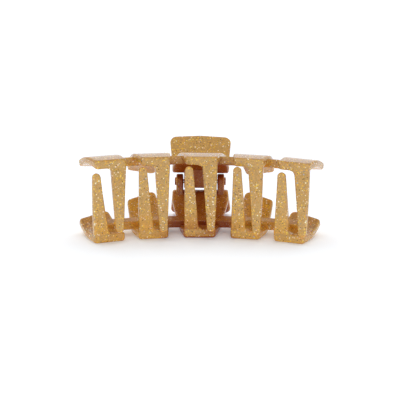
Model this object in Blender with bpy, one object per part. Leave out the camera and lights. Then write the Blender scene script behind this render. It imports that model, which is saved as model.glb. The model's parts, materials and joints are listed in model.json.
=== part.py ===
"""A large hair claw clip of moulded glitter plastic, closed and lying on its lower jaw.

Two jaws face each other like clasped hands. Each is one moulding: five strips that fan out from the
front, a curved spine bar that joins them, a tooth at the front edge of every strip, and the middle
strip carried on over the hinge into a finger handle. The lower jaw has two ears that hold a steel
pin, and the upper jaw has two lugs that turn on it, with a wall in front of the coiled spring.

Metres, +Z up, +X to the right, and +Y from the teeth to the handles. The origin is the middle of the
flat under the lower jaw's middle strip, where the clip rests.
"""

import math

import bmesh
import bpy
from mathutils import Matrix, Vector

MM = 0.001

# Side profile of the middle strip's outer face, from the front edge back to the handle's tip.
HINGE_HEIGHT = 18.4 * MM  # pin's axis to the flat at the front and the handle's tip
FRONT_FLAT = 5.0 * MM
JAW_RADIUS = 38.0 * MM
VALLEY_RADIUS = 2.5 * MM
HANDLE_START_SLOPE = math.radians(30.0)
HANDLE_RADIUS = 42.0 * MM

# Walls and roundings.
STRIP_WALL = 3.0 * MM
LIP_WALL = 3.7 * MM  # the strips are thicker along their front edge
LIP_TAPER = 9.0 * MM  # depth over which the lip thins to the strip
HANDLE_TIP_WALL = 2.4 * MM
EDGE_ROUND = 0.9 * MM
ROUND_STEPS = 2
CORNER_STEPS = 3
TURN_STEP = math.radians(7.0)  # one facet of the bent strips
VALLEY_TURN_STEP = math.radians(20.0)
STRAIGHT = math.radians(176)  # a corner opener than this isn't rounded
SHARP_ANGLE = math.radians(35)

# Fan of strips: copies turned about an upright line in front of the clip.
FAN_RADIUS = 89.0 * MM  # from that line to the strips' front edges
FAN_STEP = math.radians(12.3)
CLOSED_LEAN = math.radians(3.7)  # the closed jaws lean this much towards each other in front

# Middle strip and handle, as widths.
MIDDLE_FRONT_WIDTH = 13.0 * MM
SHOULDER_WIDTH = 25.6 * MM
HANDLE_TIP_WIDTH = 28.8 * MM
WAIST_ROUND = 8.0 * MM
HANDLE_CORNER = 3.0 * MM
HANDLE_CROWN = 0.8 * MM  # how far the tip's edge bulges at its middle

# Side strips, the inner ones (1) and the end ones (2). First the side towards the clip's middle.
FRONT_HALVES = {1: (6.1 * MM, 6.1 * MM), 2: (7.1 * MM, 6.1 * MM)}  # half widths at the front edge
SPINE_HALVES = {1: (8.0 * MM, 8.0 * MM), 2: (8.0 * MM, 6.8 * MM)}  # half widths at the spine bar
REAR_HALVES = {1: (5.0 * MM, 7.8 * MM), 2: (7.2 * MM, 6.8 * MM)}  # half widths at the rear end
REAR_INSETS = {1: (-0.4 * MM, 3.0 * MM), 2: (7.4 * MM, 11.3 * MM)}  # in front of the pin's axis
STRIP_CORNER = 2.0 * MM
FRONT_CORNER = 1.7 * MM
SIDE_ROUND = 4.0 * MM

# Spine bar: place along the strip, how far its outer face is sunk, and its height.
SPINE_START = 11.0 * MM
SPINE_DEPTH = 5.6 * MM
SPINE_SINK = 1.4 * MM
SPINE_HEIGHT = 3.7 * MM
SPINE_ROUND = 0.8 * MM
SPINE_END_INSET = 2.4 * MM  # it stops this far inside the outer side of the end strips
SPINE_STEP = math.radians(3.0)

# Teeth.
TOOTH_ROOT_WIDTH = 6.3 * MM
TOOTH_TIP_WIDTH = 3.2 * MM
TOOTH_OUTER_TAPER = 0.7 * MM
TOOTH_ROOT_WALL = 3.0 * MM
TOOTH_TIP_WALL = 2.0 * MM
TOOTH_END_SHARE = 0.4  # of that wall, left at the very end
TOOTH_REACH = 12.8 * MM  # past the level of the pin's axis
TOOTH_LEAN = 5.0 * MM  # straight to the front, also on the strips that are turned
TOOTH_FILLET = 1.6 * MM
TOOTH_ROUND = 0.7 * MM
END_TOOTH_SHORTER = 1.4 * MM
TOOTH_FACE_INSET = 0.12 * MM  # the root's front face lies just inside the lip's
FILLET_SHARES = (0.0, 0.2, 0.5, 1.0)  # levels of a tooth's rings: of the fillet, of the length,
SHAFT_SHARES = (0.2, 0.35, 0.5, 0.65, 0.8)
TIP_ANGLES = tuple(math.radians(angle) for angle in (0, 30, 55, 75))  # and round the tip
ROUND_LIMIT = 0.9  # a tooth's corner rounding is at most this share of its half width

# Hinge.
PIN_RADIUS = 1.0 * MM
PIN_CLEARANCE = 0.3 * MM
SWING_SHARE = 0.62  # of the play round the pin, by which the upper jaw sits swung to the right
TILT_SHARE = 0.4  # of the same play, by which its right end sits low
LUG_RADIUS = 3.1 * MM
LUG_WALL = 1.8 * MM
LUG_SPAN = 14.8 * MM  # across both lugs
LUG_TO_EAR = 0.4 * MM
EAR_RADIUS = 3.4 * MM
EAR_WALL = 3.1 * MM
EAR_ROUND = 0.6 * MM
NECK_HALF_WIDTH = 3.9 * MM
NECK_STEPS = 10
GUARD_START = 225  # degrees, where a lug's round end meets the wall in front of the spring
BOSS_RADIUS = 1.8 * MM
BOSS_HEIGHT = 0.7 * MM
GUARD_WALL = 1.5 * MM
GUARD_REACH = 2.1 * MM  # below the pin's axis
COIL_TO_GUARD = 0.5 * MM

# Spring.
WIRE_RADIUS = 0.5 * MM
COIL_TO_SHOULDER = 1.3 * MM
COIL_RADIUS = 2.2 * MM  # to the middle of the wire
COIL_TURNS = 5
COIL_END_GAP = 0.4 * MM  # to the lugs
LEG_LENGTH = 7.0 * MM
LEG_SHARES = (1.0, 0.7, 0.4)
POINTS_PER_TURN = 10
SEAT_GAP = 0.3 * MM

ROUND_SIDES = 20
PIN_SIDES = 16
ROOT_OVERLAP = STRIP_WALL / 4  # how far ears, lugs and wall reach into the strip
JAW_FINISH = {"colour": (0.62, 0.36, 0.11, 1.0), "roughness": 0.2, "metallic": 0.0}
STEEL_FINISH = {"colour": (0.62, 0.61, 0.59, 1.0), "roughness": 0.3, "metallic": 1.0}


def add_material(name, colour, roughness, metallic):
    material = bpy.data.materials.new(name)
    material.use_nodes = True
    shader = material.node_tree.nodes["Principled BSDF"]
    shader.inputs["Base Color"].default_value = colour
    shader.inputs["Roughness"].default_value = roughness
    shader.inputs["Metallic"].default_value = metallic
    return material


# The strips' side profile: (depth, height) and slope at a distance along the outer face.

SHOULDER_HEIGHT = COIL_RADIUS + WIRE_RADIUS + COIL_TO_SHOULDER + STRIP_WALL
JAW_TURN = math.acos(1 - (HINGE_HEIGHT - SHOULDER_HEIGHT) / (JAW_RADIUS + VALLEY_RADIUS))
JAW_ARC_END = FRONT_FLAT + JAW_RADIUS * JAW_TURN
VALLEY_LOW = JAW_ARC_END + VALLEY_RADIUS * JAW_TURN
VALLEY_END = VALLEY_LOW + VALLEY_RADIUS * HANDLE_START_SLOPE
HINGE_DEPTH = FRONT_FLAT + (JAW_RADIUS + VALLEY_RADIUS) * math.sin(JAW_TURN)


def arc_point(along):
    """Depth, height above the pin's axis, and slope of a side strip's outer face."""
    if along <= FRONT_FLAT:
        return along, HINGE_HEIGHT, 0.0
    turn = (along - FRONT_FLAT) / JAW_RADIUS
    depth = FRONT_FLAT + JAW_RADIUS * math.sin(turn)
    return depth, HINGE_HEIGHT - JAW_RADIUS * (1 - math.cos(turn)), -turn


def profile_point(along):
    """The same for the middle strip, which bends up again behind the hinge."""
    if along <= JAW_ARC_END:
        return arc_point(along)
    if along <= VALLEY_END:
        slope = (along - VALLEY_LOW) / VALLEY_RADIUS
        depth = HINGE_DEPTH + VALLEY_RADIUS * math.sin(slope)
        return depth, SHOULDER_HEIGHT + VALLEY_RADIUS * (1 - math.cos(slope)), slope
    depth, height, slope = profile_point(VALLEY_END)
    turned = slope + (along - VALLEY_END) / HANDLE_RADIUS
    depth += HANDLE_RADIUS * (math.sin(turned) - math.sin(slope))
    return depth, height + HANDLE_RADIUS * (math.cos(slope) - math.cos(turned)), turned


def along_at_depth(depth):
    """Distance along a side strip's outer face to a depth."""
    if depth <= FRONT_FLAT:
        return depth
    return FRONT_FLAT + JAW_RADIUS * math.asin((depth - FRONT_FLAT) / JAW_RADIUS)


def handle_end():
    """Distance along the face to the handle's tip, which ends level with the flat at the front."""
    reach = HINGE_HEIGHT - SHOULDER_HEIGHT - VALLEY_RADIUS * (1 - math.cos(HANDLE_START_SLOPE))
    last_slope = math.acos(math.cos(HANDLE_START_SLOPE) - reach / HANDLE_RADIUS)
    full = VALLEY_END + HANDLE_RADIUS * (last_slope - HANDLE_START_SLOPE)
    inward_round = EDGE_ROUND * HANDLE_TIP_WALL / STRIP_WALL
    centre_below = inward_round * math.cos(last_slope)
    rim_above_centre = math.hypot(EDGE_ROUND * math.sin(last_slope), centre_below)
    return full + EDGE_ROUND - (rim_above_centre - centre_below) / math.sin(last_slope)


HANDLE_END = handle_end()


def wall_at(along):
    if along < LIP_TAPER:
        return LIP_WALL + (STRIP_WALL - LIP_WALL) * along / LIP_TAPER
    if along > VALLEY_END:
        share = (along - VALLEY_END) / (HANDLE_END - VALLEY_END)
        return STRIP_WALL + (HANDLE_TIP_WALL - STRIP_WALL) * share
    return STRIP_WALL


def on_profile(across, along, inward, profile=arc_point):
    """A point of the flat pattern laid onto the profile, seen from the pin's axis."""
    depth, height, slope = profile(along)
    return Vector((
        across,
        depth + inward * math.sin(slope) - HINGE_DEPTH,
        height - inward * math.cos(slope),
    ))


def fan(point, turn):
    """The point turned with its strip about the fan's upright line."""
    to_line = FAN_RADIUS + HINGE_DEPTH
    radius = to_line + point.y
    return Vector((
        radius * math.sin(turn) + point.x * math.cos(turn),
        radius * math.cos(turn) - point.x * math.sin(turn) - to_line,
        point.z,
    ))


# Solids.


def face_out(shape):
    """Turns every face of a closed bmesh outwards."""
    bmesh.ops.recalc_face_normals(shape, faces=shape.faces)
    if shape.calc_volume(signed=True) < 0:
        bmesh.ops.reverse_faces(shape, faces=shape.faces)


def rounded_outline(corners, steps=CORNER_STEPS):
    """Outline through (x, y, radius) corners, each rounded by an arc."""
    outline = []
    for index, (x, y, radius) in enumerate(corners):
        corner = Vector((x, y))
        before = Vector(corners[index - 1][:2]) - corner
        after = Vector(corners[(index + 1) % len(corners)][:2]) - corner
        before.normalize()
        after.normalize()
        half = before.angle(after) / 2
        if radius == 0 or 2 * half > STRAIGHT:
            outline.append(corner)
            continue
        centre = corner + (before + after).normalized() * radius / math.sin(half)
        start = corner + before * radius / math.tan(half) - centre
        sweep = math.pi - 2 * half
        turn = math.copysign(sweep, after.x * before.y - after.y * before.x)
        for step in range(steps + 1):
            outline.append(centre + Matrix.Rotation(turn * step / steps, 2) @ start)
    return outline


def slab(outline, thickness, rounding, round_steps=ROUND_STEPS):
    """A bmesh plate over an (x, y) outline, from z = 0 to the thickness, with rounded rims."""
    shape = bmesh.new()
    face = shape.faces.new([shape.verts.new((x, y, 0)) for x, y in outline])
    made = bmesh.ops.extrude_face_region(shape, geom=[face])["geom"]
    top = [item for item in made if isinstance(item, bmesh.types.BMVert)]
    bmesh.ops.translate(shape, verts=top, vec=(0, 0, thickness))
    if rounding:
        rims = [edge for edge in shape.edges if edge.verts[0].co.z == edge.verts[1].co.z]
        bmesh.ops.bevel(shape, geom=rims, offset=rounding, segments=round_steps, profile=0.5, affect="EDGES")
    face_out(shape)
    return shape


def cut_into_bands(shape, stations):
    for station in stations:
        everything = shape.verts[:] + shape.edges[:] + shape.faces[:]
        bmesh.ops.bisect_plane(
            shape, geom=everything, dist=1e-7, plane_co=(0, station, 0), plane_no=(0, 1, 0)
        )
    bmesh.ops.triangulate(shape, faces=shape.faces)


def stations_between(first, last):
    """Places along the profile where a bent strip needs a fold."""
    places = [FRONT_FLAT, LIP_TAPER]
    for start, end, radius, turn_step in (
        (FRONT_FLAT, JAW_ARC_END, JAW_RADIUS, TURN_STEP),
        (JAW_ARC_END, VALLEY_END, VALLEY_RADIUS, VALLEY_TURN_STEP),
        (VALLEY_END, HANDLE_END, HANDLE_RADIUS, TURN_STEP),
    ):
        count = max(2, round((end - start) / radius / turn_step))
        places += [start + (end - start) * step / count for step in range(1, count + 1)]
    return [place for place in places if first < place < last]


def bent_strip(outline, turn, profile):
    """A strip: its flat pattern as a rounded plate, folded onto the profile and fanned out."""
    shape = slab(outline, STRIP_WALL, EDGE_ROUND)
    cut_into_bands(shape, stations_between(0, max(y for _, y in outline)))
    for vertex in shape.verts:
        across, along, inward = vertex.co
        inward *= wall_at(along) / STRIP_WALL
        vertex.co = fan(on_profile(across, along, inward, profile), turn)
    face_out(shape)
    return shape


def middle_strip():
    """The middle strip, its shoulders over the hinge, and the handle."""
    right = [
        (MIDDLE_FRONT_WIDTH / 2, 0, FRONT_CORNER),
        (SHOULDER_WIDTH / 2, JAW_ARC_END - VALLEY_RADIUS, WAIST_ROUND),
        (SHOULDER_WIDTH / 2, VALLEY_END, WAIST_ROUND),
        (HANDLE_TIP_WIDTH / 2, HANDLE_END - HANDLE_CROWN, HANDLE_CORNER),
    ]
    left = [(-x, y, radius) for x, y, radius in reversed(right)]
    tip = [(0, HANDLE_END, 0)]
    return bent_strip(rounded_outline(right + tip + left), 0.0, profile_point)


def side_strip(place):
    """A side strip, two to each side of the middle one."""
    spine_end = SPINE_START + SPINE_DEPTH
    tables = (FRONT_HALVES, SPINE_HALVES, REAR_HALVES, REAR_INSETS)
    inner, outer = [
        [
            (front_half, 0, FRONT_CORNER),
            (spine_half, SPINE_START, SIDE_ROUND),
            (spine_half, spine_end, SIDE_ROUND),
            (rear_half, along_at_depth(HINGE_DEPTH - inset), STRIP_CORNER),
        ]
        for front_half, spine_half, rear_half, inset in zip(*(table[abs(place)] for table in tables))
    ]
    inner = [(-x, y, radius) for x, y, radius in reversed(inner)]
    side = math.copysign(1, place)
    outline = [(side * x, y) for x, y in rounded_outline(outer + inner)]
    return bent_strip(outline, place * FAN_STEP, arc_point)


def loft(rings):
    """A closed bmesh through rings of equally many points."""
    shape = bmesh.new()
    rows = [[shape.verts.new(point) for point in ring] for ring in rings]
    for low, high in zip(rows, rows[1:]):
        for index in range(len(low)):
            after = (index + 1) % len(low)
            shape.faces.new((low[index], low[after], high[after], high[index]))
    shape.faces.new(reversed(rows[0]))
    shape.faces.new(rows[-1])
    face_out(shape)
    return shape


def spine_bar():
    """The curved bar that runs through all five strips, a little below their outer face."""
    radius = FAN_RADIUS + SPINE_START + SPINE_DEPTH / 2
    end_turn = 2 * FAN_STEP + (SPINE_HALVES[2][1] - SPINE_END_INSET) / radius
    section = rounded_outline(
        [
            (SPINE_START, SPINE_SINK, SPINE_ROUND),
            (SPINE_START + SPINE_DEPTH, SPINE_SINK, SPINE_ROUND),
            (SPINE_START + SPINE_DEPTH, SPINE_SINK + SPINE_HEIGHT, SPINE_ROUND),
            (SPINE_START, SPINE_SINK + SPINE_HEIGHT, SPINE_ROUND),
        ],
        steps=ROUND_STEPS,
    )
    count = math.ceil(2 * end_turn / SPINE_STEP)
    turns = [end_turn * (2 * step / count - 1) for step in range(count + 1)]
    rings = [[fan(on_profile(0, along, inward), turn) for along, inward in section] for turn in turns]
    return loft(rings)


def tooth(place):
    """A tooth on the right of a strip's front edge, leaning forward past the other jaw's lip."""
    inner_half, outer_half = FRONT_HALVES.get(abs(place), (MIDDLE_FRONT_WIDTH / 2,) * 2)
    front_half = inner_half if place < 0 else outer_half
    reach = TOOTH_REACH - (END_TOOTH_SHORTER if abs(place) == 2 else 0)
    root_height = HINGE_HEIGHT - LIP_WALL
    length = root_height + reach
    sunk = LIP_WALL / 2
    tip_round = TOOTH_TIP_WIDTH / 2
    fillets = [TOOTH_FILLET * share for share in FILLET_SHARES]
    shaft = [length * share for share in SHAFT_SHARES]
    tips = [length - tip_round * (1 - math.sin(angle)) for angle in TIP_ANGLES]
    rings = []
    for below in [-sunk] + fillets + shaft + tips:
        share = max(0.0, below / length)
        outer = front_half - TOOTH_OUTER_TAPER * share
        width = TOOTH_ROOT_WIDTH + (TOOTH_TIP_WIDTH - TOOTH_ROOT_WIDTH) * share
        wall = TOOTH_ROOT_WALL + (TOOTH_TIP_WALL - TOOTH_ROOT_WALL) * share
        inner = outer - width
        if below < TOOTH_FILLET:
            up = 1 - max(0.0, below) / TOOTH_FILLET
            inner -= TOOTH_FILLET * (1 - math.sqrt(1 - up * up))
        shrink = 1.0
        if below > length - tip_round:
            shrink = math.sqrt(max(0.0, 1 - ((below - length + tip_round) / tip_round) ** 2))
        middle = (outer + inner) / 2
        half = (outer - inner) / 2 * shrink
        forward = Vector((0, -TOOTH_LEAN * (1 - (1 - share) ** 2), 0))
        half_wall = wall / 2 * (TOOTH_END_SHARE + (1 - TOOTH_END_SHARE) * shrink)
        centre_depth = TOOTH_FACE_INSET + wall / 2
        rounding = min(TOOTH_ROUND, ROUND_LIMIT * half, ROUND_LIMIT * half_wall)
        corners = [
            (middle - half, centre_depth - half_wall, rounding),
            (middle + half, centre_depth - half_wall, rounding),
            (middle + half, centre_depth + half_wall, rounding),
            (middle - half, centre_depth + half_wall, rounding),
        ]
        height = root_height - below
        rings.append([
            fan(Vector((x, depth - HINGE_DEPTH, height)), place * FAN_STEP) + forward
            for x, depth in rounded_outline(corners, steps=ROUND_STEPS)
        ])
    return loft(rings)


def plate_across(outline, x_low, x_high, rounding):
    """A plate over a (y, z) outline between two places along X."""
    shape = slab(outline, x_high - x_low, rounding, round_steps=1)
    stand = Matrix(((0, 0, 1, x_low), (1, 0, 0, 0), (0, 1, 0, 0), (0, 0, 0, 1)))
    bmesh.ops.transform(shape, matrix=stand, verts=shape.verts)
    face_out(shape)
    return shape


def round_bar(radius, x_low, x_high, sides=ROUND_SIDES):
    circle = [
        (radius * math.cos(2 * math.pi * step / sides), radius * math.sin(2 * math.pi * step / sides))
        for step in range(sides)
    ]
    return plate_across(circle, x_low, x_high, 0)


def neck_outline(radius, front_block):
    """Side view of an ear or lug: round below, with a neck up into the shoulder."""
    into_shoulder = SHOULDER_HEIGHT - ROOT_OVERLAP
    first = GUARD_START if front_block else 180
    angles = [math.radians(first + (360 - first) * step / NECK_STEPS) for step in range(NECK_STEPS + 1)]
    rounded = [(radius * math.cos(angle), radius * math.sin(angle)) for angle in angles]
    front_y = -NECK_HALF_WIDTH
    start = [(front_y, into_shoulder)]
    if front_block:
        start.append((front_y, -GUARD_REACH + EAR_ROUND))
    return start + rounded + [(NECK_HALF_WIDTH, into_shoulder)]


def ears():
    """The lower jaw's ears, with a small boss round each end of the pin."""
    inner = LUG_SPAN / 2 + LUG_TO_EAR
    outer = inner + EAR_WALL
    outline = neck_outline(EAR_RADIUS, front_block=False)
    solids = []
    for side in (-1, 1):
        low, high = sorted((side * inner, side * outer))
        solids.append(plate_across(outline, low, high, EAR_ROUND))
        low, high = sorted((side * (outer - EAR_WALL / 2), side * (outer + BOSS_HEIGHT)))
        solids.append(round_bar(BOSS_RADIUS, low, high))
    return solids


def lugs():
    """The upper jaw's lugs and the wall that hides the spring from the front."""
    outer = LUG_SPAN / 2
    outline = neck_outline(LUG_RADIUS, front_block=True)
    solids = []
    for side in (-1, 1):
        low, high = sorted((side * (outer - LUG_WALL), side * outer))
        solids.append(plate_across(outline, low, high, 0))
    rear = -(COIL_RADIUS + WIRE_RADIUS + COIL_TO_GUARD)
    front = rear - GUARD_WALL
    root = SHOULDER_HEIGHT - ROOT_OVERLAP - rear - NECK_HALF_WIDTH / 2
    wall = rounded_outline(
        [
            (front, root + STRIP_WALL / 2, 0),
            (front, -GUARD_REACH, GUARD_WALL / 3),
            (rear, -GUARD_REACH, GUARD_WALL / 3),
            (rear, root, 0),
        ],
        steps=ROUND_STEPS,
    )
    solids.append(plate_across(wall, -outer + EAR_ROUND / 4, outer - EAR_ROUND / 4, 0))
    return solids


def to_object(name, shape):
    mesh = bpy.data.meshes.new(name)
    shape.to_mesh(mesh)
    shape.free()
    made = bpy.data.objects.new(name, mesh)
    bpy.context.scene.collection.objects.link(made)
    return made


def boolean(target, operation, others):
    """The target joined with, or cut by, the other objects, which are then deleted."""
    for other in others:
        modifier = target.modifiers.new(other.name, "BOOLEAN")
        modifier.operation = operation
        modifier.object = other
    bpy.context.view_layer.update()
    evaluated = target.evaluated_get(bpy.context.evaluated_depsgraph_get())
    mesh = bpy.data.meshes.new_from_object(evaluated)
    target.modifiers.clear()
    target.data = mesh
    for other in others:
        bpy.data.objects.remove(other)


def jaw(name, hinge_solids, hinge_half_span, material):
    """One jaw about the pin's axis, outer face up, with its teeth on the right of the strips."""
    made = to_object(name, middle_strip())
    shapes = [side_strip(place) for place in (-2, -1, 1, 2)]
    shapes += [tooth(place) for place in (-2, -1, 0, 1, 2)]
    shapes += [spine_bar()] + hinge_solids
    boolean(made, "UNION", [to_object("moulded_shape", shape) for shape in shapes])
    reach = hinge_half_span + 2 * BOSS_HEIGHT
    hole = to_object("pin_hole", round_bar(PIN_RADIUS + PIN_CLEARANCE, -reach, reach))
    boolean(made, "DIFFERENCE", [hole])
    made.data.materials.clear()
    made.data.materials.append(material)
    made.data.shade_smooth()
    made.data.set_sharp_from_angle(angle=SHARP_ANGLE)
    return made


def hinge_pin(material):
    half = LUG_SPAN / 2 + LUG_TO_EAR + EAR_WALL + BOSS_HEIGHT
    made = to_object("hinge_pin", round_bar(PIN_RADIUS, -half, half, sides=PIN_SIDES))
    made.data.materials.append(material)
    made.data.shade_smooth()
    made.data.set_sharp_from_angle(angle=SHARP_ANGLE)
    return made


def leg_slope():
    """Slope, in its jaw's frame, at which a leg leaves the coil and lies along the handle's inside."""
    depth, height, slope = profile_point(VALLEY_END)
    centre = Vector((depth - HINGE_DEPTH, height)) + HANDLE_RADIUS * Vector((-math.sin(slope), math.cos(slope)))
    to_leg = HANDLE_RADIUS + STRIP_WALL + SEAT_GAP + WIRE_RADIUS
    lean = math.acos(min(1.0, (to_leg + COIL_RADIUS) / centre.length))
    return math.atan2(-centre.x, centre.y) + lean


def spring_route():
    """Points of the wire: a leg under the lower handle, the coil, and a leg under the upper one."""
    slope = leg_slope()
    upper_slope = slope + CLOSED_LEAN
    turns = COIL_TURNS - (slope + upper_slope) / (2 * math.pi) - 0.5
    first_angle = -(math.pi / 2 + slope)
    half = LUG_SPAN / 2 - LUG_WALL - COIL_END_GAP - WIRE_RADIUS
    count = round(turns * POINTS_PER_TURN)
    coil = []
    for step in range(count + 1):
        angle = first_angle - 2 * math.pi * turns * step / count
        x = half * (2 * step / count - 1)
        coil.append(Vector((x, COIL_RADIUS * math.cos(angle), COIL_RADIUS * math.sin(angle))))
    legs = [LEG_LENGTH * share for share in LEG_SHARES]
    lower = [coil[0] + reach * Vector((0, math.cos(slope), -math.sin(slope))) for reach in legs]
    upward = Vector((0, math.cos(upper_slope), math.sin(upper_slope)))
    upper = [coil[-1] + reach * upward for reach in reversed(legs)]
    return lower + coil + upper


def least_self_gap(route):
    """Least free distance between stretches of the wire that aren't neighbours."""
    skip = POINTS_PER_TURN // 2
    nearest = min(
        (route[i] - route[j]).length
        for i in range(len(route))
        for j in range(i + skip, len(route))
    )
    return nearest - 2 * WIRE_RADIUS


def torsion_spring(material):
    route = spring_route()
    curve = bpy.data.curves.new("torsion_spring", "CURVE")
    curve.dimensions = "3D"
    curve.bevel_depth = WIRE_RADIUS
    curve.bevel_resolution = 1
    curve.use_fill_caps = True
    wire = curve.splines.new("POLY")
    wire.points.add(len(route) - 1)
    for point, place in zip(wire.points, route):
        point.co = (*place, 1.0)
    curve.materials.append(material)
    print(f"torsion_spring: least gap to itself {least_self_gap(route) / MM:.2f} mm")
    made = bpy.data.objects.new("torsion_spring", curve)
    bpy.context.scene.collection.objects.link(made)
    return made


def build():
    for leftover in list(bpy.data.objects):
        bpy.data.objects.remove(leftover)
    plastic = add_material("glitter_plastic", **JAW_FINISH)
    steel = add_material("spring_steel", **STEEL_FINISH)
    axis = bpy.data.objects.new("hinge_axis", None)
    bpy.context.scene.collection.objects.link(axis)
    axis.location = (0, HINGE_DEPTH - FRONT_FLAT / 2, HINGE_HEIGHT)
    upper = jaw("upper_jaw", lugs(), LUG_SPAN / 2, plastic)
    ear_span = LUG_SPAN / 2 + LUG_TO_EAR + EAR_WALL
    lower = jaw("lower_jaw", ears(), ear_span, plastic)
    lower.rotation_euler = (0, math.pi, 0)
    play = PIN_CLEARANCE / (LUG_SPAN / 2)
    upper.rotation_euler = (CLOSED_LEAN, math.asin(TILT_SHARE * play), math.asin(SWING_SHARE * play))
    for piece in (upper, lower, hinge_pin(steel), torsion_spring(steel)):
        piece.parent = axis


build()
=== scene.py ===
"""Looks of a large hair claw clip: amber glitter plastic and bright steel.

Both jaws, the pin and the spring are built again here with finer roundings, from the same real
sizes as the solids that they stand for. The clip lies closed on a white floor, in soft light.

Metres, +Z up, +X to the right, +Y from the teeth to the handles.
"""

import json
import math

import bmesh
import bpy
from mathutils import Euler, Matrix, Vector


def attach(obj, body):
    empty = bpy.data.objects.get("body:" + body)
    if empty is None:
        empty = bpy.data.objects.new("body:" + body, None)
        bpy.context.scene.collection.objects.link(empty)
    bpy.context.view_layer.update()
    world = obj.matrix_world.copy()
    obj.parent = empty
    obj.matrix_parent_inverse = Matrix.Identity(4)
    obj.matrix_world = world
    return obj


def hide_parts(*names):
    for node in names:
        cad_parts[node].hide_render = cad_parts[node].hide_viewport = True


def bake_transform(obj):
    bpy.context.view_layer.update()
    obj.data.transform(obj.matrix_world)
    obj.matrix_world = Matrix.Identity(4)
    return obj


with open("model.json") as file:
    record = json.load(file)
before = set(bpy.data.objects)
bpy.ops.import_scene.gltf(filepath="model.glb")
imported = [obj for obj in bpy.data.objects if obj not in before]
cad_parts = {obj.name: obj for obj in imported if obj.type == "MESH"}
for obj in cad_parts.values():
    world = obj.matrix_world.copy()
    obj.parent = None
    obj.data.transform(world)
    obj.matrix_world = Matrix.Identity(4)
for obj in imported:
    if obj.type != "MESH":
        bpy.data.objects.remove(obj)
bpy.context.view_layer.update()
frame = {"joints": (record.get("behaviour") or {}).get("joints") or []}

MM = 0.001
HINGE = Vector(frame["joints"][0]["pos_m"])

# Camera. Angles are from the front, a positive azimuth to the right.
CAMERA_TARGET = Vector((0.1, 9.6, 13.9)) * MM
CAMERA_DISTANCE = 350 * MM
CAMERA_ELEVATION = math.radians(11.5)
CAMERA_AZIMUTH = math.radians(0.7)
CAMERA_LENS = 72.8  # mm, on a 36 mm wide picture
CAMERA_NEAR = 10 * MM

# Light and floor.
WHITE = (1, 1, 1, 1)
ROOM_STRENGTH = 1.0
ZENITH_STRENGTH = 0.45
ZENITH_DIMMING = (0.35, 0.75)  # from the room's strength to the zenith's, by the elevation's sine
SIDE_DIMMING = (0.5, 1.0)  # by the share of a direction that points along the clip
SIDE_SHARE = 0.4  # of the room's strength, left straight to the side
BACKDROP_STRENGTH = 1.2  # what the camera sees beyond the floor
OVERHEAD_STRENGTH = 1.7
OVERHEAD_SPREAD = math.radians(80)
OVERHEAD_AZIMUTH = math.radians(180)  # it stands a little behind the clip
OVERHEAD_ELEVATION = math.radians(73)
OVERHEAD_DISTANCE = 1.0  # of no effect on its light, which comes as from the sky
SIDE_LIGHT_POWER = 0.05
SIDE_LIGHT_AZIMUTH = math.radians(100)
SIDE_LIGHT_ELEVATION = math.radians(22)
SIDE_LIGHT_DISTANCE = 0.6
SIDE_LIGHT_SIZE = (0.05, 0.35)  # width and height
FLOOR_SIZE = 30.0
FLOOR_GAP = 0.05 * MM

# Side profile of the middle strip's outer face, from the front edge back to the handle's tip.
HINGE_HEIGHT = HINGE.z  # pin's axis to the flat at the front and the handle's tip
FRONT_FLAT = 5.0 * MM
JAW_RADIUS = 38.0 * MM
VALLEY_RADIUS = 2.5 * MM
HANDLE_START_SLOPE = math.radians(30.0)
HANDLE_RADIUS = 42.0 * MM

# Walls and roundings.
STRIP_WALL = 3.0 * MM
LIP_WALL = 3.7 * MM  # the strips are thicker along their front edge
LIP_TAPER = 9.0 * MM  # depth over which the lip thins to the strip
HANDLE_TIP_WALL = 2.4 * MM
EDGE_ROUND = 0.9 * MM
ROUND_STEPS = 5
CORNER_STEPS = 8
TURN_STEP = math.radians(1.5)  # one facet of the bent strips
VALLEY_TURN_STEP = math.radians(5.0)
ARC_PROFILE = 0.5  # a bevel that follows a circle
CUT_TOLERANCE = 1e-7
STRAIGHT = math.radians(176)  # a corner opener than this isn't rounded
SHARP_ANGLE = math.radians(35)

# Fan of strips, turned about an upright line in front of the clip.
PLACES = (-2, -1, 0, 1, 2)  # from left to right
INNER, END = 1, 2  # places at either side
FAN_RADIUS = 89.0 * MM  # from that line to the strips' front edges
FAN_STEP = math.radians(12.3)
CLOSED_LEAN = math.radians(3.7)  # the closed jaws lean this much towards each other in front

# Middle strip and handle, as widths.
MIDDLE_FRONT_WIDTH = 13.0 * MM
SHOULDER_WIDTH = 25.6 * MM
HANDLE_TIP_WIDTH = 28.8 * MM
WAIST_ROUND = 8.0 * MM
HANDLE_CORNER = 3.0 * MM
HANDLE_CROWN = 0.8 * MM  # how far the tip's edge bulges at its middle

# Side strips: first the side towards the clip's middle, then the outer side.
FRONT_HALVES = {  # half widths at the front edge
    INNER: (6.1 * MM, 6.1 * MM),
    END: (7.1 * MM, 6.1 * MM),
}
SPINE_HALVES = {  # half widths at the spine bar
    INNER: (8.0 * MM, 8.0 * MM),
    END: (8.0 * MM, 6.8 * MM),
}
REAR_HALVES = {  # half widths at the rear end
    INNER: (5.0 * MM, 7.8 * MM),
    END: (7.2 * MM, 6.8 * MM),
}
REAR_INSETS = {  # how far the rear corners end in front of the pin's axis
    INNER: (-0.4 * MM, 3.0 * MM),
    END: (7.4 * MM, 11.3 * MM),
}
STRIP_CORNER = 2.0 * MM
FRONT_CORNER = 1.7 * MM
SIDE_ROUND = 4.0 * MM

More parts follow.
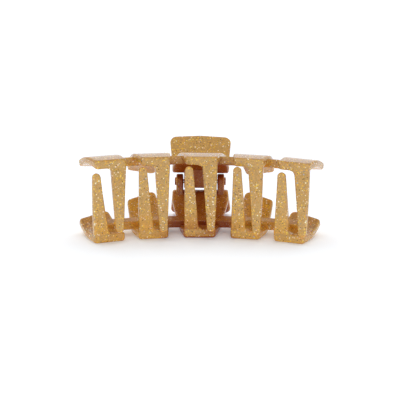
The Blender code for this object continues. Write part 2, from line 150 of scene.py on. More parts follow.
# Spine bar: place along the strip, how far its outer face is sunk, and its height.
SPINE_START = 11.0 * MM
SPINE_DEPTH = 5.6 * MM
SPINE_SINK = 1.4 * MM
SPINE_HEIGHT = 3.7 * MM
SPINE_ROUND = 0.8 * MM
SPINE_END_INSET = 2.4 * MM  # it stops this far inside the outer side of the end strips
SPINE_END_SHARE = 0.8  # of the strip's wall under it, left of its height at the very end
SPINE_STEP = math.radians(1.0)
SPINE_RUN_OUT = math.radians(4.5)  # at both ends it sinks into the strip over this turn

# Teeth.
TOOTH_ROOT_WIDTH = 6.3 * MM
TOOTH_TIP_WIDTH = 3.2 * MM
TOOTH_OUTER_TAPER = 0.7 * MM
TOOTH_ROOT_WALL = 3.0 * MM
TOOTH_TIP_WALL = 2.0 * MM
TOOTH_END_SHARE = 0.4  # of that wall, left at the very end
TOOTH_REACH = 12.8 * MM  # past the level of the pin's axis
TOOTH_LEAN = 5.0 * MM  # straight to the front, also on the strips that are turned
TOOTH_FILLET = 1.6 * MM
TOOTH_ROUND = 0.7 * MM
TOOTH_ROUND_STEPS = 4
END_TOOTH_SHORTER = 1.4 * MM
TOOTH_FACE_INSET = 0.12 * MM  # the root's front face lies just inside the lip's
TOOTH_ROOT_OVERLAP = LIP_WALL / 2  # how far a tooth reaches up into its strip
FILLET_RINGS = 7
SHAFT_RINGS = 12
TIP_RINGS = 9
LAST_TIP_ANGLE = math.radians(84)  # up the round tip, which ends in a small flat there
ROUND_LIMIT = 0.9  # a tooth's corner rounding is at most this share of its half width

# Hinge.
PIN_RADIUS = 1.0 * MM
PIN_CHAMFER = 0.15 * MM
PIN_CLEARANCE = 0.3 * MM
SWING_SHARE = 0.62  # of the play round the pin, by which the upper jaw sits swung to the right
TILT_SHARE = 0.4  # of the same play, by which its right end sits low
LUG_RADIUS = 3.1 * MM
LUG_WALL = 1.8 * MM
LUG_SPAN = 14.8 * MM  # across both lugs
LUG_TO_EAR = 0.4 * MM
EAR_RADIUS = 3.4 * MM
EAR_WALL = 3.1 * MM
EAR_ROUND = 0.6 * MM
EAR_OUTSIDE = LUG_SPAN / 2 + LUG_TO_EAR + EAR_WALL  # from the clip's middle
NECK_HALF_WIDTH = 3.9 * MM
NECK_STEPS = 32
GUARD_START = 225  # degrees, where a lug's round end meets the wall in front of the spring
BOSS_RADIUS = 1.8 * MM
BOSS_HEIGHT = 0.7 * MM
GUARD_WALL = 1.5 * MM
GUARD_ROUND = GUARD_WALL / 3
GUARD_INSET = EAR_ROUND / 4  # its ends lie this far inside the lugs' outer faces
GUARD_REACH = 2.1 * MM  # below the pin's axis
COIL_TO_GUARD = 0.5 * MM

# Spring.
WIRE_RADIUS = 0.5 * MM
COIL_TO_SHOULDER = 1.3 * MM
COIL_RADIUS = 2.2 * MM  # to the middle of the wire
COIL_TURNS = 5
COIL_END_GAP = 0.4 * MM  # to the lugs
COIL_HALF_SPAN = LUG_SPAN / 2 - LUG_WALL - COIL_END_GAP - WIRE_RADIUS  # to the middle of the wire
LEG_LENGTH = 7.0 * MM
POINTS_PER_TURN = 40
LEG_STEPS = 12
SEAT_GAP = 0.3 * MM
WIRE_SIDES = 16

ROUND_SIDES = 48
ROOT_OVERLAP = STRIP_WALL / 4  # how far ears, lugs and wall reach into the strip

# The plastic's body colour, with a painted sheen and painted shade. A START is the range over which
# a tint comes, an END that over which it goes.
FRONT_SHEEN_TINT = (0.640, 0.392, 0.126, 1)  # the body with a painted sheen, paler on faces square to the front or back
SIDE_TINT = (0.50, 0.245, 0.036, 1)
# painted shade: faces that point up or down are darker
LEVEL_SHADE_TINT = (0.38, 0.175, 0.032, 1)
RECESS_GLOW_TINT = (0.76, 0.400, 0.070, 1)  # painted glow: brighter, saturated amber where little is open round a place, for light that comes in only through the plastic
HINGE_SHADE_TINT = (0.31, 0.036, 0.001, 1)  # painted shade inside the hinge
FRONT_SHEEN_START = (0.45, 0.85)  # share of a face's direction that points to the front or back, over which the painted sheen comes
LEVEL_SHADE_START = (0.75, 0.97)  # share of it that points up or down, over which the painted shade comes
SHADE_REACH = 45 * MM  # how far round it the plastic looks for what takes its light
SHADE_SAMPLES = 16
RECESS_GLOW_END = (0.32, 0.58)  # share of the space in front that is open, over which the painted glow goes
HINGE_SHADE_END = (0.26, 0.46)  # the same, for the hinge's painted shade
HINGE_SHADE_SIDE_END = (12 * MM, 18 * MM)  # from the clip's middle to both sides, where the hinge's painted shade ends
# at most this share of the hinge's painted shade tint
HINGE_SHADE_SHARE = 0.92
CLOUD_SIZE = 7 * MM
CLOUD_SHARE = 0.3

# Its grain, flakes and sparks, each in some cells of a pattern. Radii are shares of a cell, and
# each tint starts at a share of the cells.
GRAIN_CELL = 0.38 * MM
GRAIN_BRIGHTNESS = (0.84, 1.14)
FLAKE_CELL = 0.62 * MM
FLAKE_RADIUS = 0.40
FLAKE_CHANCE = 0.48
FLAKE_SHARE = 0.85  # of a flake's tint over the body's
FLAKE_TINTS = (
    (0.00, (0.13, 0.050, 0.006, 1)),
    (0.14, (0.66, 0.30, 0.020, 1)),
    (0.42, (1.00, 0.62, 0.04, 1)),
    (0.76, (1.00, 0.88, 0.60, 1)),
    (0.93, (0.27, 0.25, 0.24, 1)),
)
SPARK_CELL = 1.20 * MM
SPARK_RADIUS = 0.25
SPARK_CHANCE = 0.50
SPARK_LEVEL_SHARE = 0.3  # of the sparks' strength, left on level faces
SPARK_TINTS = (
    (0.00, (1.00, 0.68, 0.09, 1)),
    (0.65, (1.00, 0.90, 0.62, 1)),
    (0.94, (0.50, 0.50, 0.56, 1)),
)

# Gloss and the like, which are the same all over a surface.
COAT_WEIGHT = 0.4
COAT_END = 0.6  # share of the hinge's painted shade at which no coat is left
PLASTIC_FINISH = {
    "Specular IOR Level": 0.4,
    "Roughness": 0.22,
    "IOR": 1.5,
    "Subsurface Weight": 0.4,
    "Subsurface Radius": (1.0, 0.6, 0.25),
    "Subsurface Scale": 1.5 * MM,
    "Coat Roughness": 0.06,
}
STEEL_FINISH = {
    "Base Color": (0.62, 0.61, 0.59, 1),
    "Metallic": 1.0,
    "Roughness": 0.25,
}
FLOOR_FINISH = {
    "Base Color": (0.88, 0.915, 0.955, 1.0),
    "Roughness": 0.9,
    "Specular IOR Level": 0.0,
    "Emission Color": WHITE,
    "Emission Strength": 0.14,  # keeps the floor plain white outside the clip's shadow
}


# The strips' side profile: (depth, height) and slope at a distance along the outer face.

SHOULDER_HEIGHT = COIL_RADIUS + WIRE_RADIUS + COIL_TO_SHOULDER + STRIP_WALL
JAW_TURN = math.acos(1 - (HINGE_HEIGHT - SHOULDER_HEIGHT) / (JAW_RADIUS + VALLEY_RADIUS))
JAW_ARC_END = FRONT_FLAT + JAW_RADIUS * JAW_TURN
VALLEY_LOW = JAW_ARC_END + VALLEY_RADIUS * JAW_TURN
VALLEY_END = VALLEY_LOW + VALLEY_RADIUS * HANDLE_START_SLOPE
HINGE_DEPTH = FRONT_FLAT + (JAW_RADIUS + VALLEY_RADIUS) * math.sin(JAW_TURN)


def arc_point(along):
    """Depth, height above the pin's axis, and slope of a side strip's outer face."""
    if along <= FRONT_FLAT:
        return along, HINGE_HEIGHT, 0.0
    turn = (along - FRONT_FLAT) / JAW_RADIUS
    depth = FRONT_FLAT + JAW_RADIUS * math.sin(turn)
    return depth, HINGE_HEIGHT - JAW_RADIUS * (1 - math.cos(turn)), -turn


def profile_point(along):
    """The same for the middle strip, which bends up again behind the hinge."""
    if along <= JAW_ARC_END:
        return arc_point(along)
    if along <= VALLEY_END:
        slope = (along - VALLEY_LOW) / VALLEY_RADIUS
        depth = HINGE_DEPTH + VALLEY_RADIUS * math.sin(slope)
        return depth, SHOULDER_HEIGHT + VALLEY_RADIUS * (1 - math.cos(slope)), slope
    depth, height, slope = profile_point(VALLEY_END)
    turned = slope + (along - VALLEY_END) / HANDLE_RADIUS
    depth += HANDLE_RADIUS * (math.sin(turned) - math.sin(slope))
    return depth, height + HANDLE_RADIUS * (math.cos(slope) - math.cos(turned)), turned


def along_at_depth(depth):
    """Distance along a side strip's outer face to a depth."""
    if depth <= FRONT_FLAT:
        return depth
    return FRONT_FLAT + JAW_RADIUS * math.asin((depth - FRONT_FLAT) / JAW_RADIUS)


def handle_end():
    """Distance along the face to the handle's tip, which ends level with the flat at the front."""
    reach = HINGE_HEIGHT - SHOULDER_HEIGHT - VALLEY_RADIUS * (1 - math.cos(HANDLE_START_SLOPE))
    last_slope = math.acos(math.cos(HANDLE_START_SLOPE) - reach / HANDLE_RADIUS)
    full = VALLEY_END + HANDLE_RADIUS * (last_slope - HANDLE_START_SLOPE)
    inward_round = EDGE_ROUND * HANDLE_TIP_WALL / STRIP_WALL
    centre_below = inward_round * math.cos(last_slope)
    rim_above_centre = math.hypot(EDGE_ROUND * math.sin(last_slope), centre_below)
    return full + EDGE_ROUND - (rim_above_centre - centre_below) / math.sin(last_slope)


HANDLE_END = handle_end()


def wall_at(along):
    """Thickness of a strip at a distance along its outer face."""
    if along < LIP_TAPER:
        return LIP_WALL + (STRIP_WALL - LIP_WALL) * along / LIP_TAPER
    if along > VALLEY_END:
        share = (along - VALLEY_END) / (HANDLE_END - VALLEY_END)
        return STRIP_WALL + (HANDLE_TIP_WALL - STRIP_WALL) * share
    return STRIP_WALL


def on_profile(across, along, inward, profile=arc_point):
    """A point of the flat pattern laid onto the profile, seen from the pin's axis."""
    depth, height, slope = profile(along)
    return Vector((
        across,
        depth + inward * math.sin(slope) - HINGE_DEPTH,
        height - inward * math.cos(slope),
    ))


def fan(point, turn):
    """The point turned with its strip about the fan's upright line."""
    to_line = FAN_RADIUS + HINGE_DEPTH
    radius = to_line + point.y
    return Vector((
        radius * math.sin(turn) + point.x * math.cos(turn),
        radius * math.cos(turn) - point.x * math.sin(turn) - to_line,
        point.z,
    ))


# Solids.


def face_out(shape):
    """Turns every face of a closed bmesh outwards."""
    bmesh.ops.recalc_face_normals(shape, faces=shape.faces)
    if shape.calc_volume(signed=True) < 0:
        bmesh.ops.reverse_faces(shape, faces=shape.faces)


def rounded_outline(corners, steps=CORNER_STEPS):
    """Outline through (x, y, radius) corners, each rounded by an arc."""
    outline = []
    for index, (x, y, radius) in enumerate(corners):
        corner = Vector((x, y))
        before = Vector(corners[index - 1][:2]) - corner
        after = Vector(corners[(index + 1) % len(corners)][:2]) - corner
        before.normalize()
        after.normalize()
        half = before.angle(after) / 2
        if radius == 0 or 2 * half > STRAIGHT:
            outline.append(corner)
            continue
        centre = corner + (before + after).normalized() * radius / math.sin(half)
        start = corner + before * radius / math.tan(half) - centre
        sweep = math.pi - 2 * half
        turn = math.copysign(sweep, after.x * before.y - after.y * before.x)
        for step in range(steps + 1):
            outline.append(centre + Matrix.Rotation(turn * step / steps, 2) @ start)
    return outline


def slab(outline, thickness, rounding):
    """A bmesh plate over an (x, y) outline, from z = 0 to the thickness, with rounded rims."""
    shape = bmesh.new()
    face = shape.faces.new([shape.verts.new((x, y, 0)) for x, y in outline])
    made = bmesh.ops.extrude_face_region(shape, geom=[face])["geom"]
    top = [item for item in made if isinstance(item, bmesh.types.BMVert)]
    bmesh.ops.translate(shape, verts=top, vec=(0, 0, thickness))
    if rounding:
        rims = [edge for edge in shape.edges if edge.verts[0].co.z == edge.verts[1].co.z]
        bmesh.ops.bevel(
            shape,
            geom=rims,
            offset=rounding,
            segments=ROUND_STEPS,
            profile=ARC_PROFILE,
            affect="EDGES",
        )
    face_out(shape)
    return shape


def cut_into_bands(shape, stations):
    """Cuts a flat shape across at each station, so that it can be folded there."""
    for station in stations:
        bmesh.ops.bisect_plane(
            shape,
            geom=shape.verts[:] + shape.edges[:] + shape.faces[:],
            dist=CUT_TOLERANCE,
            plane_co=(0, station, 0),
            plane_no=(0, 1, 0),
        )
    bmesh.ops.triangulate(shape, faces=shape.faces)


def stations_before(last):
    """Places along the profile where a bent strip needs a fold."""
    places = [FRONT_FLAT, LIP_TAPER]
    for start, end, radius, turn_step in (
        (FRONT_FLAT, JAW_ARC_END, JAW_RADIUS, TURN_STEP),
        (JAW_ARC_END, VALLEY_END, VALLEY_RADIUS, VALLEY_TURN_STEP),
        (VALLEY_END, HANDLE_END, HANDLE_RADIUS, TURN_STEP),
    ):
        count = max(2, round((end - start) / radius / turn_step))
        places += [start + (end - start) * step / count for step in range(1, count + 1)]
    return [place for place in places if place < last]


def bent_strip(outline, turn, profile):
    """A strip: its flat pattern as a rounded plate, folded onto the profile and fanned out."""
    shape = slab(outline, STRIP_WALL, EDGE_ROUND)
    cut_into_bands(shape, stations_before(max(y for _, y in outline)))
    for vertex in shape.verts:
        across, along, inward = vertex.co
        inward *= wall_at(along) / STRIP_WALL
        vertex.co = fan(on_profile(across, along, inward, profile), turn)
    face_out(shape)
    return shape


def middle_strip():
    """The middle strip, its shoulders over the hinge, and the handle."""
    right = [
        (MIDDLE_FRONT_WIDTH / 2, 0, FRONT_CORNER),
        (SHOULDER_WIDTH / 2, JAW_ARC_END - VALLEY_RADIUS, WAIST_ROUND),
        (SHOULDER_WIDTH / 2, VALLEY_END, WAIST_ROUND),
        (HANDLE_TIP_WIDTH / 2, HANDLE_END - HANDLE_CROWN, HANDLE_CORNER),
    ]
    left = [(-x, y, radius) for x, y, radius in reversed(right)]
    tip = [(0, HANDLE_END, 0)]
    return bent_strip(rounded_outline(right + tip + left), 0.0, profile_point)


def side_strip(place):
    """A side strip, two to each side of the middle one."""
    spine_end = SPINE_START + SPINE_DEPTH
    tables = (FRONT_HALVES, SPINE_HALVES, REAR_HALVES, REAR_INSETS)
    sides = zip(*(table[abs(place)] for table in tables))
    inner, outer = [
        [
            (front_half, 0, FRONT_CORNER),
            (spine_half, SPINE_START, SIDE_ROUND),
            (spine_half, spine_end, SIDE_ROUND),
            (rear_half, along_at_depth(HINGE_DEPTH - inset), STRIP_CORNER),
        ]
        for front_half, spine_half, rear_half, inset in sides
    ]
    inner = [(-x, y, radius) for x, y, radius in reversed(inner)]
    side = math.copysign(1, place)
    outline = [(side * x, y) for x, y in rounded_outline(outer + inner)]
    return bent_strip(outline, place * FAN_STEP, arc_point)


def loft(rings):
    """A closed bmesh through rings of equally many points."""
    shape = bmesh.new()
    rows = [[shape.verts.new(point) for point in ring] for ring in rings]
    for low, high in zip(rows, rows[1:]):
        for index in range(len(low)):
            after = (index + 1) % len(low)
            shape.faces.new((low[index], low[after], high[after], high[index]))
    shape.faces.new(reversed(rows[0]))
    shape.faces.new(rows[-1])
    face_out(shape)
    return shape


def spine_bar():
    """The curved bar that runs through all five strips, a little below their outer face."""
    radius = FAN_RADIUS + SPINE_START + SPINE_DEPTH / 2
    end_turn = END * FAN_STEP + (SPINE_HALVES[END][1] - SPINE_END_INSET) / radius
    section = rounded_outline(
        [
            (SPINE_START, SPINE_SINK, SPINE_ROUND),
            (SPINE_START + SPINE_DEPTH, SPINE_SINK, SPINE_ROUND),
            (SPINE_START + SPINE_DEPTH, SPINE_SINK + SPINE_HEIGHT, SPINE_ROUND),
            (SPINE_START, SPINE_SINK + SPINE_HEIGHT, SPINE_ROUND),
        ],
        steps=ROUND_STEPS,
    )
    count = math.ceil(2 * end_turn / SPINE_STEP)
    turns = [end_turn * (2 * step / count - 1) for step in range(count + 1)]
    least = (STRIP_WALL - SPINE_SINK) * SPINE_END_SHARE / SPINE_HEIGHT
    rings = []
    for turn in turns:
        missing = max(0.0, 1 - (end_turn - abs(turn)) / SPINE_RUN_OUT)
        height = least + (1 - least) * math.sqrt(1 - missing * missing)
        rings.append([
            fan(on_profile(0, along, SPINE_SINK + (inward - SPINE_SINK) * height), turn)
            for along, inward in section
        ])
    return loft(rings)


def tooth_levels(length, tip_round):
    """Where a tooth has rings below its root: close in its fillet and round its tip."""
    fillet = [TOOTH_FILLET * (step / FILLET_RINGS) ** 2 for step in range(FILLET_RINGS + 1)]
    straight = length - tip_round - TOOTH_FILLET
    shaft = [TOOTH_FILLET + straight * step / SHAFT_RINGS for step in range(1, SHAFT_RINGS)]
    angles = [LAST_TIP_ANGLE * step / TIP_RINGS for step in range(TIP_RINGS + 1)]
    return fillet + shaft + [length - tip_round * (1 - math.sin(angle)) for angle in angles]


def tooth(place):
    """A tooth on the right of a strip's front edge, leaning forward past the other jaw's lip."""
    inner_half, outer_half = FRONT_HALVES.get(abs(place), (MIDDLE_FRONT_WIDTH / 2,) * 2)
    front_half = inner_half if place < 0 else outer_half
    reach = TOOTH_REACH - (END_TOOTH_SHORTER if abs(place) == END else 0)
    root_height = HINGE_HEIGHT - LIP_WALL
    length = root_height + reach
    tip_round = TOOTH_TIP_WIDTH / 2
    rings = []
    for below in [-TOOTH_ROOT_OVERLAP] + tooth_levels(length, tip_round):
        share = max(0.0, below / length)
        outer = front_half - TOOTH_OUTER_TAPER * share
        width = TOOTH_ROOT_WIDTH + (TOOTH_TIP_WIDTH - TOOTH_ROOT_WIDTH) * share
        wall = TOOTH_ROOT_WALL + (TOOTH_TIP_WALL - TOOTH_ROOT_WALL) * share
        inner = outer - width
        if below < TOOTH_FILLET:
            up = 1 - max(0.0, below) / TOOTH_FILLET
            inner -= TOOTH_FILLET * (1 - math.sqrt(1 - up * up))
        shrink = 1.0
        if below > length - tip_round:
            shrink = math.sqrt(max(0.0, 1 - ((below - length + tip_round) / tip_round) ** 2))
        middle = (outer + inner) / 2
        half = (outer - inner) / 2 * shrink
        forward = Vector((0, -TOOTH_LEAN * (1 - (1 - share) ** 2), 0))
        half_wall = wall / 2 * (TOOTH_END_SHARE + (1 - TOOTH_END_SHARE) * shrink)
        centre_depth = TOOTH_FACE_INSET + wall / 2
        rounding = min(TOOTH_ROUND, ROUND_LIMIT * half, ROUND_LIMIT * half_wall)
        corners = [
            (middle - half, centre_depth - half_wall, rounding),
            (middle + half, centre_depth - half_wall, rounding),
            (middle + half, centre_depth + half_wall, rounding),
            (middle - half, centre_depth + half_wall, rounding),
        ]
        height = root_height - below
        rings.append([
            fan(Vector((x, depth - HINGE_DEPTH, height)), place * FAN_STEP) + forward
            for x, depth in rounded_outline(corners, steps=TOOTH_ROUND_STEPS)
        ])
    return loft(rings)


def plate_across(outline, x_low, x_high, rounding):
    """A plate over a (y, z) outline between two places along X."""
    shape = slab(outline, x_high - x_low, rounding)
    stand = Matrix(((0, 0, 1, x_low), (1, 0, 0, 0), (0, 1, 0, 0), (0, 0, 0, 1)))
    bmesh.ops.transform(shape, matrix=stand, verts=shape.verts)
    face_out(shape)
    return shape


def round_bar(radius, x_low, x_high, rounding=0):
    """A bar along the pin's axis."""
    angles = [2 * math.pi * step / ROUND_SIDES for step in range(ROUND_SIDES)]
    circle = [(radius * math.cos(angle), radius * math.sin(angle)) for angle in angles]
    return plate_across(circle, x_low, x_high, rounding)


def neck_outline(radius, front_block):
    """Side view of an ear or lug: round below, with a neck up into the shoulder."""
    into_shoulder = SHOULDER_HEIGHT - ROOT_OVERLAP
    first = GUARD_START if front_block else 180
    turns = [first + (360 - first) * step / NECK_STEPS for step in range(NECK_STEPS + 1)]
    angles = [math.radians(turn) for turn in turns]
    rounded = [(radius * math.cos(angle), radius * math.sin(angle)) for angle in angles]
    front_y = -NECK_HALF_WIDTH
    start = [(front_y, into_shoulder)]
    if front_block:
        start.append((front_y, -GUARD_REACH + EAR_ROUND))
    return start + rounded + [(NECK_HALF_WIDTH, into_shoulder)]


def ears():
    """The lower jaw's ears, with a small boss round each end of the pin."""
    inside = LUG_SPAN / 2 + LUG_TO_EAR
    boss_ends = (EAR_OUTSIDE - EAR_WALL / 2, EAR_OUTSIDE + BOSS_HEIGHT)
    outline = neck_outline(EAR_RADIUS, front_block=False)
    solids = []
    for side in (-1, 1):
        low, high = sorted((side * inside, side * EAR_OUTSIDE))
        solids.append(plate_across(outline, low, high, EAR_ROUND))
        low, high = sorted(side * end for end in boss_ends)
        solids.append(round_bar(BOSS_RADIUS, low, high, PIN_CHAMFER))
    return solids


def lugs():
    """The upper jaw's lugs and the wall that hides the spring from the front."""
    outer = LUG_SPAN / 2
    outline = neck_outline(LUG_RADIUS, front_block=True)
    solids = []
    for side in (-1, 1):
        low, high = sorted((side * (outer - LUG_WALL), side * outer))
        solids.append(plate_across(outline, low, high, 0))
    rear = -(COIL_RADIUS + WIRE_RADIUS + COIL_TO_GUARD)
    front = rear - GUARD_WALL
    root = SHOULDER_HEIGHT - ROOT_OVERLAP - rear - NECK_HALF_WIDTH / 2
    wall = rounded_outline(
        [
            (front, root + STRIP_WALL / 2, 0),
            (front, -GUARD_REACH, GUARD_ROUND),
            (rear, -GUARD_REACH, GUARD_ROUND),
            (rear, root, 0),
        ],
        steps=ROUND_STEPS,
    )
    solids.append(plate_across(wall, -outer + GUARD_INSET, outer - GUARD_INSET, 0))
    return solids


def to_object(name, shape):
    """An object with the bmesh's shape, which is freed."""
    mesh = bpy.data.meshes.new(name)
    shape.to_mesh(mesh)
    shape.free()
    made = bpy.data.objects.new(name, mesh)
    bpy.context.scene.collection.objects.link(made)
    return made


def apply_modifiers(target):
    """Puts what the modifiers make into the mesh and removes them."""
    bpy.context.view_layer.update()
    evaluated = target.evaluated_get(bpy.context.evaluated_depsgraph_get())
    mesh = bpy.data.meshes.new_from_object(evaluated)
    target.modifiers.clear()
    target.data = mesh


def boolean(target, operation, others):
    """The target joined with, or cut by, the other objects, which are then deleted."""
    for other in others:
        modifier = target.modifiers.new(other.name, "BOOLEAN")
        modifier.operation = operation
        modifier.object = other
    apply_modifiers(target)
    for other in others:
        bpy.data.objects.remove(other)


def smooth(target):
    """Smooth shading that keeps wide faces flat and hard edges sharp."""
    target.data.shade_smooth()
    target.data.set_sharp_from_angle(angle=SHARP_ANGLE)
    weighted = target.modifiers.new("flat_faces", "WEIGHTED_NORMAL")
    weighted.keep_sharp = True
    apply_modifiers(target)


def stand_for(piece, node, body, material):
    """The piece shows instead of the CAD node, rides on its body and takes the slot's finish."""
    piece.data.materials.clear()
    piece.data.materials.append(material)
    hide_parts(node)
    if body:
        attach(piece, body)


def jaw(name, hinge_solids, hinge_half_span, rotation):
    """One jaw about the pin's axis, outer face up, with its teeth on the right of the strips."""
    made = to_object(name, middle_strip())
    shapes = [side_strip(place) for place in PLACES if place]
    shapes += [tooth(place) for place in PLACES]
    shapes += [spine_bar()] + hinge_solids
    boolean(made, "UNION", [to_object("moulded_shape", shape) for shape in shapes])
    reach = hinge_half_span + 2 * BOSS_HEIGHT
    hole = to_object("pin_hole", round_bar(PIN_RADIUS + PIN_CLEARANCE, -reach, reach))
    boolean(made, "DIFFERENCE", [hole])
    made.data.transform(Euler(rotation).to_matrix().to_4x4())
    made.location = HINGE
    smooth(made)
    return made


def hinge_pin():
    """The steel pin, level with the bosses at both ends."""
    half = EAR_OUTSIDE + BOSS_HEIGHT
    made = to_object("steel_hinge_pin", round_bar(PIN_RADIUS, -half, half, PIN_CHAMFER))
    made.location = HINGE
    smooth(made)
    return made


def leg_slope():
    """Slope, in its jaw's frame, of a leg from the coil to the inside of the handle."""
    depth, height, slope = profile_point(VALLEY_END)
    centre = Vector((depth - HINGE_DEPTH, height))
    centre += HANDLE_RADIUS * Vector((-math.sin(slope), math.cos(slope)))
    to_leg = HANDLE_RADIUS + STRIP_WALL + SEAT_GAP + WIRE_RADIUS
    lean = math.acos(min(1.0, (to_leg + COIL_RADIUS) / centre.length))
    return math.atan2(-centre.x, centre.y) + lean


def spring_route():
    """Points of the wire: a leg under the lower handle, the coil, and a leg under the upper one."""
    slope = leg_slope()
    upper_slope = slope + CLOSED_LEAN
    turns = COIL_TURNS - (slope + upper_slope) / (2 * math.pi) - 0.5
    first_angle = -(math.pi / 2 + slope)
    count = round(turns * POINTS_PER_TURN)
    coil = []
    for step in range(count + 1):
        angle = first_angle - 2 * math.pi * turns * step / count
        x = COIL_HALF_SPAN * (2 * step / count - 1)
        coil.append(Vector((x, COIL_RADIUS * math.cos(angle), COIL_RADIUS * math.sin(angle))))
    legs = [LEG_LENGTH * step / LEG_STEPS for step in range(LEG_STEPS, 0, -1)]
    lower = [coil[0] + reach * Vector((0, math.cos(slope), -math.sin(slope))) for reach in legs]
    upward = Vector((0, math.cos(upper_slope), math.sin(upper_slope)))
    upper = [coil[-1] + reach * upward for reach in reversed(legs)]
    return lower + coil + upper


def torsion_spring():
    """The bent wire as a tube of rings square to its route."""
    route = spring_route()
    angles = [2 * math.pi * step / WIRE_SIDES for step in range(WIRE_SIDES)]
    rings = []
    side = Vector((1, 0, 0))
    for index, point in enumerate(route):
        before, after = route[max(index - 1, 0)], route[min(index + 1, len(route) - 1)]
        tangent = (after - before).normalized()
        side = (side - side.dot(tangent) * tangent).normalized()
        other = tangent.cross(side)
        rings.append([
            point + WIRE_RADIUS * (math.cos(angle) * side + math.sin(angle) * other)
            for angle in angles
        ])
    made = to_object("wire_torsion_spring", loft(rings))
    made.location = HINGE
    smooth(made)
    return made


# Materials.


class NodeTree:
    """Short ways to add and join the nodes of a world or a material."""

    def __init__(self, owner):
        owner.use_nodes = True
        self.nodes = owner.node_tree.nodes
        self.links = owner.node_tree.links

    def add(self, kind, **settings):
        """A new node."""
        node = self.nodes.new(kind)
        for name, value in settings.items():
            setattr(node, name, value)
        return node

    def feed(self, socket, value):
        """Links another socket to this one, or sets its number or colour."""
        if isinstance(value, bpy.types.NodeSocket):
            self.links.new(value, socket)
        else:
            socket.default_value = value

    def split(self, vector):
        """The sockets of a vector's parts, by name."""
        node = self.add("ShaderNodeSeparateXYZ")
        self.feed(node.inputs["Vector"], vector)
        return node.outputs

    def math(self, operation, *values):
        """The outcome of one operation."""
        node = self.add("ShaderNodeMath", operation=operation)
        for socket, value in zip(node.inputs, values):
            self.feed(socket, value)
        return node.outputs[0]

    def map(self, value, low, high, to_low=0.0, to_high=1.0):
        """The value moved from one range to another, and kept inside it."""
        node = self.add("ShaderNodeMapRange")
        for socket, number in zip(node.inputs, (value, low, high, to_low, to_high)):
            self.feed(socket, number)
        return node.outputs[0]

    def mix(self, share, low, high, blend="MIX"):
        """One colour over another, by a share."""
        node = self.add("ShaderNodeMix", data_type="RGBA", blend_type=blend)
        for index, value in ((0, share), (6, low), (7, high)):  # the sockets for colours
            self.feed(node.inputs[index], value)
        return node.outputs[2]

    def cells(self, place, size):
        """A cell pattern: distance to the cell's seed, and three random numbers for each cell."""
        node = self.add("ShaderNodeTexVoronoi")
        self.feed(node.inputs["Vector"], place)
        self.feed(node.inputs["Scale"], 1 / size)
        chances = self.add("ShaderNodeSeparateColor")
        self.feed(chances.inputs["Color"], node.outputs["Color"])
        return node.outputs["Distance"], chances.outputs

    def dots(self, distance, radius, chance, limit):
        """1 inside a dot about the seed of some of the cells, else 0."""
        near = self.math("LESS_THAN", distance, radius)
        return self.math("MULTIPLY", near, self.math("LESS_THAN", chance, limit))

    def openness(self):
        """How much of the space in front of a place is open, 0 to 1."""
        node = self.add("ShaderNodeAmbientOcclusion", samples=SHADE_SAMPLES)
        self.feed(node.inputs["Distance"], SHADE_REACH)
        return node.outputs["AO"]

    def tint(self, chance, tints):
        """The tint whose start lies next below the chance."""
        node = self.add("ShaderNodeValToRGB")
        node.color_ramp.interpolation = "CONSTANT"
        elements = node.color_ramp.elements
        while len(elements) < len(tints):
            elements.new(1.0)
        for element, (start, colour) in zip(elements, tints):
            element.position = start
            element.color = colour
        self.feed(node.inputs["Fac"], chance)
        return node.outputs["Color"]


class Material(NodeTree):
    """A material whose finish is set on its surface shader's own sockets."""

    def __init__(self, name, finish):
        self.material = bpy.data.materials.new(name)
        super().__init__(self.material)
        self.surface = self.nodes["Principled BSDF"].inputs
        for socket, value in finish.items():
            self.surface[socket].default_value = value


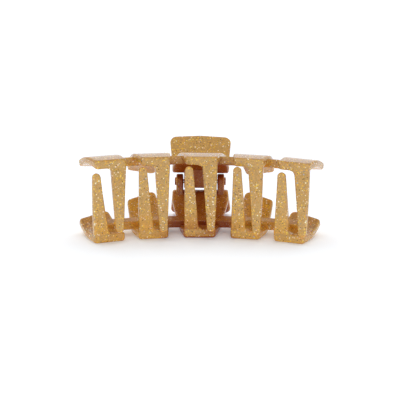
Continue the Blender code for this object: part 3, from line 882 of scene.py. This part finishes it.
def glitter_plastic():
    """Translucent amber plastic full of fine gold and silver flakes, polished, with a painted sheen
    and painted shade in its colour.
    """
    made = Material("glitter_plastic", PLASTIC_FINISH)
    coordinates = made.add("ShaderNodeTexCoord").outputs
    place = coordinates["Object"]
    facing = made.split(coordinates["Normal"])
    across = made.math("ABSOLUTE", made.split(place)["X"])
    open_share = made.openness()

    # The body: paler on wide front and back faces by a painted sheen, darker on level faces by
    # painted shade, more amber on the sides, and a painted amber glow in the shade of recesses.
    face = made.map(made.math("ABSOLUTE", facing["Y"]), *FRONT_SHEEN_START)
    level = made.map(made.math("ABSOLUTE", facing["Z"]), *LEVEL_SHADE_START)
    cloud = made.add("ShaderNodeTexNoise")
    made.feed(cloud.inputs["Vector"], place)
    made.feed(cloud.inputs["Scale"], 1 / CLOUD_SIZE)
    cloudy = made.math("MULTIPLY", cloud.outputs["Fac"], CLOUD_SHARE)
    body = made.mix(face, SIDE_TINT, FRONT_SHEEN_TINT)
    body = made.mix(level, body, LEVEL_SHADE_TINT)
    body = made.mix(cloudy, body, SIDE_TINT)
    body = made.mix(made.map(open_share, *RECESS_GLOW_END), RECESS_GLOW_TINT, body)

    # A fine grain, coloured flakes, and a few bright sparks.
    _, chance = made.cells(place, GRAIN_CELL)
    grain = made.map(chance[0], 0.0, 1.0, *GRAIN_BRIGHTNESS)
    body = made.mix(1.0, body, grain, blend="MULTIPLY")
    distance, chance = made.cells(place, FLAKE_CELL)
    flake = made.dots(distance, FLAKE_RADIUS, chance[1], FLAKE_CHANCE)
    flake = made.math("MULTIPLY", flake, FLAKE_SHARE)
    body = made.mix(flake, body, made.tint(chance[0], FLAKE_TINTS))
    distance, chance = made.cells(place, SPARK_CELL)
    spark = made.dots(distance, SPARK_RADIUS, chance[1], SPARK_CHANCE)
    spark = made.math("MULTIPLY", spark, made.map(level, 0.0, 1.0, 1.0, SPARK_LEVEL_SHARE))
    body = made.mix(spark, body, made.tint(chance[0], SPARK_TINTS))

    # Over all of it the painted shade of the hinge, where the coat's gloss goes too.
    near_hinge = made.map(across, *HINGE_SHADE_SIDE_END, 1.0, 0.0)
    closed = made.math("MULTIPLY", near_hinge, made.map(open_share, *HINGE_SHADE_END, 1.0, 0.0))
    body = made.mix(made.math("MULTIPLY", closed, HINGE_SHADE_SHARE), body, HINGE_SHADE_TINT)
    made.feed(made.surface["Base Color"], body)
    made.feed(made.surface["Coat Weight"], made.map(closed, 0.0, COAT_END, COAT_WEIGHT, 0.0))
    return made.material


def spring_steel():
    """Bright drawn steel."""
    return Material("spring_steel", STEEL_FINISH).material


# Surroundings.


def look_from(target, azimuth, elevation, distance):
    """Place and rotation of something that faces the target."""
    away = Vector((
        math.sin(azimuth) * math.cos(elevation),
        -math.cos(azimuth) * math.cos(elevation),
        math.sin(elevation),
    ))
    return target + distance * away, away.to_track_quat("Z", "Y").to_euler()


def add_camera():
    """The camera at the photo's viewing angle, and plain colours in its picture."""
    data = bpy.data.cameras.new("camera")
    data.lens = CAMERA_LENS
    data.clip_start = CAMERA_NEAR
    camera = bpy.data.objects.new("camera", data)
    camera.location, camera.rotation_euler = look_from(
        CAMERA_TARGET, CAMERA_AZIMUTH, CAMERA_ELEVATION, CAMERA_DISTANCE
    )
    bpy.context.scene.collection.objects.link(camera)
    bpy.context.scene.camera = camera
    bpy.context.scene.view_settings.view_transform = "Standard"


def add_world():
    """A white room: bright at eye level, dimmer overhead and to the sides, plain to the camera."""
    world = bpy.data.worlds.new("white_room")
    bpy.context.scene.world = world
    tree = NodeTree(world)
    direction = tree.split(tree.add("ShaderNodeTexCoord").outputs["Generated"])
    by_height = tree.map(direction["Z"], *ZENITH_DIMMING, ROOM_STRENGTH, ZENITH_STRENGTH)
    sideways = tree.math("ABSOLUTE", direction["X"])
    by_side = tree.map(sideways, *SIDE_DIMMING, 1.0, SIDE_SHARE)
    strength = tree.add("ShaderNodeMix")
    tree.feed(strength.inputs["Factor"], tree.add("ShaderNodeLightPath").outputs["Is Camera Ray"])
    tree.feed(strength.inputs["A"], tree.math("MULTIPLY", by_height, by_side))
    tree.feed(strength.inputs["B"], BACKDROP_STRENGTH)
    background = tree.nodes["Background"].inputs
    tree.feed(background["Strength"], strength.outputs["Result"])
    tree.feed(background["Color"], WHITE)


def add_floor():
    """A wide white floor just under the clip."""
    bpy.ops.mesh.primitive_plane_add(size=FLOOR_SIZE, location=(0, 0, -FLOOR_GAP))
    floor = bpy.context.active_object
    floor.name = "floor"
    floor.data.materials.append(Material("white_floor", FLOOR_FINISH).material)


def add_light(kind, name, power, azimuth, elevation, distance):
    """A light that faces the hinge."""
    data = bpy.data.lights.new(name, kind)
    data.energy = power
    light = bpy.data.objects.new(name, data)
    light.location, light.rotation_euler = look_from(HINGE, azimuth, elevation, distance)
    bpy.context.scene.collection.objects.link(light)
    return light


def add_lights():
    """A very soft light from above, and two narrow ones that draw light lines along the rims."""
    overhead = add_light(
        "SUN",
        "overhead_light",
        OVERHEAD_STRENGTH,
        OVERHEAD_AZIMUTH,
        OVERHEAD_ELEVATION,
        OVERHEAD_DISTANCE,
    )
    overhead.data.angle = OVERHEAD_SPREAD
    overhead.visible_glossy = False
    for side in (-1, 1):
        light = add_light(
            "AREA",
            f"side_light_{side + 2}",
            SIDE_LIGHT_POWER,
            side * SIDE_LIGHT_AZIMUTH,
            SIDE_LIGHT_ELEVATION,
            SIDE_LIGHT_DISTANCE,
        )
        light.data.shape = "RECTANGLE"
        light.data.size, light.data.size_y = SIDE_LIGHT_SIZE


# The clip.


def add_clip():
    """The four pieces, closed and askew as in the photo; the jaws and the pin ride on their bodies.
    """
    plastic = glitter_plastic()
    steel = spring_steel()
    play = PIN_CLEARANCE / (LUG_SPAN / 2)
    upper_seat = (CLOSED_LEAN, math.asin(TILT_SHARE * play), math.asin(SWING_SHARE * play))
    upper = jaw("upper_jaw_moulding", lugs(), LUG_SPAN / 2, upper_seat)
    stand_for(upper, "upper_jaw", "upper", plastic)
    lower = jaw("lower_jaw_moulding", ears(), EAR_OUTSIDE, (0, math.pi, 0))
    stand_for(lower, "lower_jaw", "lower", plastic)
    stand_for(hinge_pin(), "hinge_pin", "lower", steel)
    spring = torsion_spring()
    stand_for(spring, "torsion_spring", None, steel)
    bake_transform(spring)


add_camera()
add_world()
add_floor()
add_lights()
add_clip()
